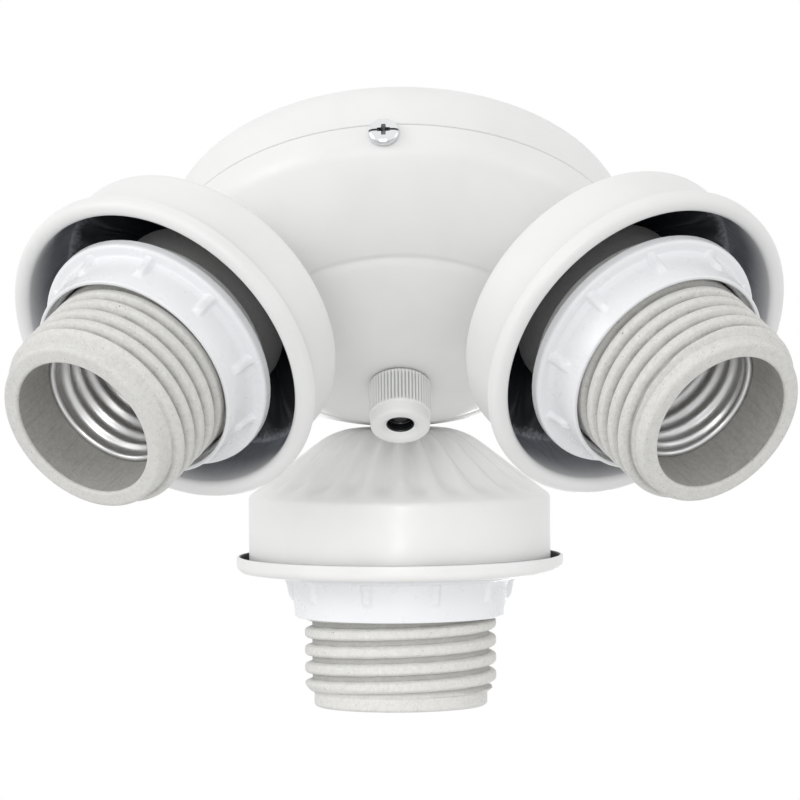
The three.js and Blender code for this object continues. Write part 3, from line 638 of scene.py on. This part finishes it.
# Cup
def cup(arm, matrix):
    wall_top = CUP_DOME + CUP_WALL
    curl = (CURL_R - CUP_R + SHEET) / 2
    centre = (CUP_R - SHEET + curl, wall_top + CURL_H - curl)
    edge = (CUP_R, CUP_DOME + 0.1)
    dome = arc((CUP_FLAT_R, 0), CUP_KNEE, CUP_BULGE, 24)
    outside = soften([(PIPE_R + CLEARANCE, 0), *dome, edge, (CUP_R, wall_top)],
                     0.3, 0.45, [(*edge, 1.5, 0.4), (CUP_FLAT_R, 0, 2, 0.8), (*CUP_KNEE, 3, 1.2)])
    groove = sweep(centre, curl - SHEET, 180, 0, 10)
    tip = rounded([(CURL_R - SHEET, wall_top + 0.6), (CURL_R - SHEET, wall_top, 0.3),
                   (CURL_R, wall_top, 0.3), (CURL_R, wall_top + 0.6)], 4, closed=False)[1:-1]
    face = sweep(centre, curl, 0, 180, 22)
    inside = beside(outside, SHEET)[::-1]
    inside = inside[inside[:, 1] < centre[1] - 0.3]
    inside[-1, 0] = outside[0, 0]
    profile = [*outside[:-1], *groove, *tip, *face, *inside]
    # The curl's groove and tip take the painted shade.
    hem_shade = range(len(outside) - 1, len(outside) + len(groove) + 4)
    first_inside = len(profile) - len(inside) - 3

    def flute(r, z, a, row):
        fade = ease(r, *FLUTE_START) * (1 - ease(r, *FLUTE_END)) * (z < wall_top)
        ridge = (0.5 + 0.5 * np.cos(FLUTES * a)) ** 1.2
        return r, z + FLUTE_DEPTH * fade * (1 - ridge)

    def finish(row):
        return 1 if row >= first_inside else 2 if row in hem_shade else 0

    finishes = [WHITE, INSIDE, HEM_SHADE]
    piece = lathe(f"{arm}_cup_fluted", profile, FLUTES * 12, finishes, flute, finish, sharp=50)
    put(piece, "fixture", f"{arm}_cup", matrix)


# Socket
def socket_body(arm, matrix):
    neck = THREAD_R - 0.6
    side = thread_rows(THREAD_R, THREAD_LOW, THREAD_TOP, THREAD_PITCH, 16)
    back = rounded([(PIPE_R + 0.2, SOCKET_FOOT), (SOCKET_BODY_R, SOCKET_FOOT, 1.5),
                    (SOCKET_BODY_R, COLLAR_LOW, 0.4), (COLLAR_R, COLLAR_LOW, 0.5),
                    (COLLAR_R, COLLAR_TOP, 0.6), (neck, COLLAR_TOP, 0.2), (neck, THREAD_LOW - 0.2)],
                   closed=False)
    end = rounded([(SOCKET_END_R, THREAD_TOP + 0.4), (SOCKET_END_R, SOCKET_TOP, 0.9),
                   (SOCKET_MOUTH_R, SOCKET_TOP, 0.6), (SOCKET_MOUTH_R, SOCKET_BORE_STEP, 0.15),
                   (SOCKET_BORE_R, SOCKET_BORE_STEP, 0.1), (SOCKET_BORE_R, SOCKET_BORE_FLOOR, 0.6),
                   (0, SOCKET_BORE_FLOOR)], closed=False)
    profile = [(0, SOCKET_FOOT), *back, *side, *end]
    first = 1 + len(back)
    last = first + len(side) - 1
    bore_from = next(i for i, (r, z) in enumerate(profile)
                     if i > last + 4 and r < SOCKET_MOUTH_R + 0.2 and z < SOCKET_TOP - 0.5)

    def thread(r, z, a, row):
        turned = z / THREAD_PITCH - a / TURN - 0.88
        u = np.clip((np.cos(TURN * turned) + 0.6) / 1.6, 0, 1)
        bump = np.sqrt(1 - (1 - u) ** 2.4)
        run_out = np.clip((THREAD_TOP - z) / 1.8, 0, 1) ** 0.6
        ridge = THREAD_ROOT + (THREAD_R - THREAD_ROOT) * bump
        ridge = np.minimum(ridge, SOCKET_END_R + (THREAD_R - SOCKET_END_R) * run_out)
        return np.where((row >= first) & (row <= last), ridge, r), z

    def finish(row):
        return 1 if row >= bore_from else 0

    piece = lathe(f"{arm}_socket_porcelain", profile, 144, [CERAMIC, BORE_SHADE], thread, finish, sharp=60)
    put(piece, "fixture", f"{arm}_socket_body", matrix)


def screw_shell(arm, matrix):
    floor_top = SHELL_LOW + SHELL_WALL
    flare_shape = [(-0.3, -0.9), (0, -0.38), (0.4, -0.28), (0.48, -0.12), (0.4, 0), (0.05, 0),
                   (-0.4, -0.25), (-0.62, -0.9)]
    flare = [(SHELL_R + r, SHELL_TOP + z) for r, z in flare_shape]
    rows = thread_rows(SHELL_R - 0.1, SHELL_LOW + 1, SHELL_TOP - 1.1, THREAD_PITCH, 18)
    profile = [(SHELL_FLOOR_R, SHELL_LOW), (SHELL_R - 0.8, SHELL_LOW), (SHELL_R - 0.2, SHELL_LOW + 0.4),
               *rows, *flare, *[(r - SHELL_WALL, z) for r, z in rows[::-1]],
               (SHELL_R - 1.0, floor_top), (SHELL_FLOOR_R, floor_top)]

    def corrugate(r, z, a, row):
        wave = 0.5 - 0.5 * np.cos(TURN * z / THREAD_PITCH - a)
        ends = ease(SHELL_TOP - 1.1 - z, 0, 2.0) * ease(z - SHELL_LOW - 1, 0, 2.0)
        on = (z > SHELL_LOW + 0.9) & (z < SHELL_TOP - 1)
        return np.where(on, r - SHELL_WAVE * wave ** 1.4 * ends, r), z

    piece = lathe(f"{arm}_shell_threaded", profile, 120, [ALUMINIUM], corrugate, sharp=60)
    put(piece, "fixture", f"{arm}_screw_shell", matrix)


def contact(arm, matrix):
    """A sprung brass strip with a round tip and worn edges."""
    spine = soften([(-7.0, SHELL_LOW), (0.5, SHELL_LOW + 6.4), (3.2, SHELL_LOW + 5.4)], 0.5, 0.35)
    back = beside(spine, 0.5)
    sections = []
    for i, ((x0, z0), (x1, z1)) in enumerate(zip(spine, back)):
        tip = max(0, i - (len(spine) - 7)) / 6
        half = 2.5 * max(0.25, math.sqrt(1 - tip ** 2))
        x, z = (x0 + x1) / 2, (z0 + z1) / 2
        edge = half - 0.1
        sections.append([(x0, -edge, z0), (x0, edge, z0), (x, half, z),
                         (x1, edge, z1), (x1, -edge, z1), (x, -half, z)])
    piece = loft(f"{arm}_contact_strip", sections, [BRASS])
    put(piece, f"{arm}_contact", f"{arm}_center_contact", matrix)


def shade_ring(arm, matrix):
    flange_top = FLANGE_BACK + 2.4
    ring_top = FLANGE_BACK + 10.3
    flange = rounded([(SLEEVE_BORE, FLANGE_BACK + 1.6), (21.9, FLANGE_BACK, 0.15),
                      (FLANGE_R, FLANGE_BACK, 0.4), (FLANGE_R, flange_top, 0.9),
                      (SLEEVE_TOP_R + 0.3, flange_top, 0.6), (SLEEVE_TOP_R, flange_top + 2)],
                     6, closed=False)
    sleeve = [(SLEEVE_TOP_R - 0.035 * i, flange_top + 0.9 + 0.35 * i) for i in range(1, 16)]
    mouth = rounded([(21.9, ring_top - 1.6), (21.75, ring_top, 0.7), (21.0, ring_top, 0.3),
                     (20.9, ring_top - 2.3, 0.3), (SLEEVE_BORE, ring_top - 2.7)], 6, closed=False)
    profile = [*flange[:-1], *sleeve, *mouth]
    half = np.array([0, 0.9, 1.5, 1.9, 2.3, 2.7, 3.1, 3.6, 4.4, 6, 9, 13])
    offsets = np.concatenate([-half[:0:-1], half, [18]])
    centres = (np.arange(RIBS) + 0.5) * 360 / RIBS
    angles = np.sort(np.radians((centres[:, None] + offsets[None, :]).ravel()))

    def ribs(r, z, a, row):
        off = np.abs((np.degrees(a) % (360 / RIBS)) - 180 / RIBS)
        across = 1 - ease(off, 1.2, 3.5)
        length = np.sqrt(np.clip(ring_top - 3.3 - z, 0, 1))
        height = (1.1 - 0.08 * (z - flange_top)) * length
        return np.where((r > 21.85) & (r < 23.3) & (z > flange_top - 0.1), r + across * height, r), z

    piece = lathe(f"{arm}_ring_ribbed", profile, angles, [RING], ribs, sharp=60)
    put(piece, f"{arm}_ring", f"{arm}_shade_ring", matrix)


# Assembly
housing_cap()
housing_bowl()
for i, t in enumerate(SCREW_TURNS):
    side_screw(i + 1, t)
threaded_pipe("top_nipple_thread", "top_nipple", TOP_NIPPLE_ENDS, PIPE_R, PIPE_BORE, PIPE_PITCH)
# The bushing's bore is painted black as shade.
threaded_pipe("switch_bushing_thread", "switch_bushing", BUSHING_ENDS, BUSHING_R, BUSHING_BORE,
              BUSHING_PITCH, bore_finish=BLACK_AND_SHADE)
knurled_nut()
puller()
for arm, turn in ARMS.items():
    place = arm_frame(turn)
    cup(arm, place)
    threaded_pipe(f"{arm}_nipple_thread", f"{arm}_nipple", ARM_NIPPLE_ENDS, PIPE_R, PIPE_BORE, PIPE_PITCH,
                  place)
    socket_body(arm, place)
    screw_shell(arm, place)
    socket_screw(arm, 1, place)
    socket_screw(arm, 2, place)
    contact(arm, place)
    shade_ring(arm, place)


# Finishes of the solids that keep their shape
def dress(material, *nodes):
    for name in nodes:
        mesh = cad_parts[name].data
        if not mesh.materials:
            mesh.materials.append(material)
        for i in range(len(mesh.materials)):
            mesh.materials[i] = material


dress(metal("zinc_plate_solid", (0.62, 0.61, 0.57), (0.42, 0.42, 0.38), 0.34, made=False),
      "top_lock_washer", "top_nut", "switch_back_nut",
      *(f"{arm}_{piece}" for arm in ARMS for piece in ("nipple_nut", "bracket")))
dress(plastic("black_plastic_solid", (0.012, 0.013, 0.015), (0.03, 0.03, 0.032), 0.32, 0.01, False),
      "switch_body")
dress(plastic("orange_plastic", (0.62, 0.17, 0.03), (0.50, 0.12, 0.02), 0.4, made=False),
      "hot_connector", "neutral_connector")
dress(plastic("black_insulation", (0.014, 0.014, 0.015), (0.03, 0.03, 0.03), 0.5, 0.01, False),
      *(f"{arm}_hot_lead" for arm in ARMS))
dress(plastic("white_insulation", (0.72, 0.70, 0.66), (0.62, 0.60, 0.55), 0.5, 0.01, False),
      *(f"{arm}_neutral_lead" for arm in ARMS))


# Camera
def camera():
    elevation, yaw, roll = (math.radians(v) for v in (33.16, -0.49, -0.75))
    distance, target = 1144.7, Vector((0, 0, -47.2))
    level = math.cos(elevation)
    back = Vector((math.sin(yaw) * level, -math.cos(yaw) * level, -math.sin(elevation)))
    right = (-back).cross(Vector((0, 0, 1))).normalized()
    up = right.cross(-back)
    rolled_right = right * math.cos(roll) + up * math.sin(roll)
    rolled_up = up * math.cos(roll) - right * math.sin(roll)
    data = bpy.data.cameras.new("camera")
    data.lens, data.sensor_width = 258.1, 36
    data.clip_start, data.clip_end = 0.05, 20
    obj = bpy.data.objects.new("camera", data)
    bpy.context.collection.objects.link(obj)
    m = Matrix((rolled_right, rolled_up, back)).transposed().to_4x4()
    m.translation = (target + back * distance) * MM
    obj.matrix_world = m
    bpy.context.scene.camera = obj


camera()


# Light and stage, in metres and watts
LAMPS = (
    ("front", (-0.25, -1.6, -0.55), 0.9, 5.5),
    ("left", (-1.5, -0.9, 0.2), 0.9, 5.5),
    ("right", (1.5, -0.9, 0.1), 0.9, 1.8),
    ("back", (0.3, 1.6, 0.3), 1.0, 5.0),
)
MIDDLE = (0, 0, -0.04)
SPOT_PLACE, SPOT_TARGET, SPOT_DEGREES, SPOT_POWER = (0.0, -1.1, -0.85), (0.0, 0.049, -0.064), 3.9, 14
WORLD_LEVEL = 0.76
FLOOR_HEIGHT, FLOOR_HALF = -2.4, 6


def hang_lamp(name, data, place, target, power):
    """Puts a lamp at its place and points it at its target."""
    data.energy = power
    obj = bpy.data.objects.new(name, data)
    bpy.context.collection.objects.link(obj)
    obj.location = place
    obj.rotation_mode = "QUATERNION"
    obj.rotation_quaternion = (Vector(place) - Vector(target)).to_track_quat("Z", "Y")


def soft_lamp(name, place, size, power):
    data = bpy.data.lights.new(name, "AREA")
    data.shape = "DISK"
    data.size = size
    hang_lamp(name, data, place, MIDDLE, power)


def rear_spot():
    """Lifts the rear arm, which the housing shades."""
    data = bpy.data.lights.new("rear_fill", "SPOT")
    data.shadow_soft_size = 0.02
    data.spot_size = math.radians(SPOT_DEGREES)
    data.spot_blend = 0.6
    hang_lamp("rear_fill", data, SPOT_PLACE, SPOT_TARGET, SPOT_POWER)


def add_floor():
    corners = [(x * FLOOR_HALF, y * FLOOR_HALF, 0) for x, y in ((-1, -1), (1, -1), (1, 1), (-1, 1))]
    mesh = bpy.data.meshes.new("floor")
    mesh.from_pydata(corners, [], [(0, 1, 2, 3)])
    pale = bpy.data.materials.new("pale_floor")
    pale.use_nodes = True
    shader = pale.node_tree.nodes["Principled BSDF"]
    shader.inputs["Base Color"].default_value = (0.85, 0.85, 0.85, 1)
    shader.inputs["Roughness"].default_value = 0.9
    mesh.materials.append(pale)
    floor = bpy.data.objects.new("floor", mesh)
    floor.location = (0, 0, FLOOR_HEIGHT)
    bpy.context.collection.objects.link(floor)


def add_world():
    """White for the camera and in reflections, and WORLD_LEVEL as light."""
    world = bpy.data.worlds.new("studio")
    world.use_nodes = True
    bpy.context.scene.world = world
    nodes, links = world.node_tree.nodes, world.node_tree.links
    path = nodes.new("ShaderNodeLightPath")
    shown = nodes.new("ShaderNodeMath")
    shown.operation = "MAXIMUM"
    links.new(path.outputs["Is Camera Ray"], shown.inputs[0])
    links.new(path.outputs["Is Glossy Ray"], shown.inputs[1])
    level = nodes.new("ShaderNodeMapRange")
    level.inputs["To Min"].default_value = WORLD_LEVEL
    level.inputs["To Max"].default_value = 1.0
    links.new(shown.outputs[0], level.inputs["Value"])
    background = nodes["Background"]
    background.inputs["Color"].default_value = (1, 1, 1, 1)
    links.new(level.outputs["Result"], background.inputs["Strength"])


for spec in LAMPS:
    soft_lamp(*spec)
rear_spot()
add_floor()
add_world()
bpy.context.scene.view_settings.view_transform = "Standard"
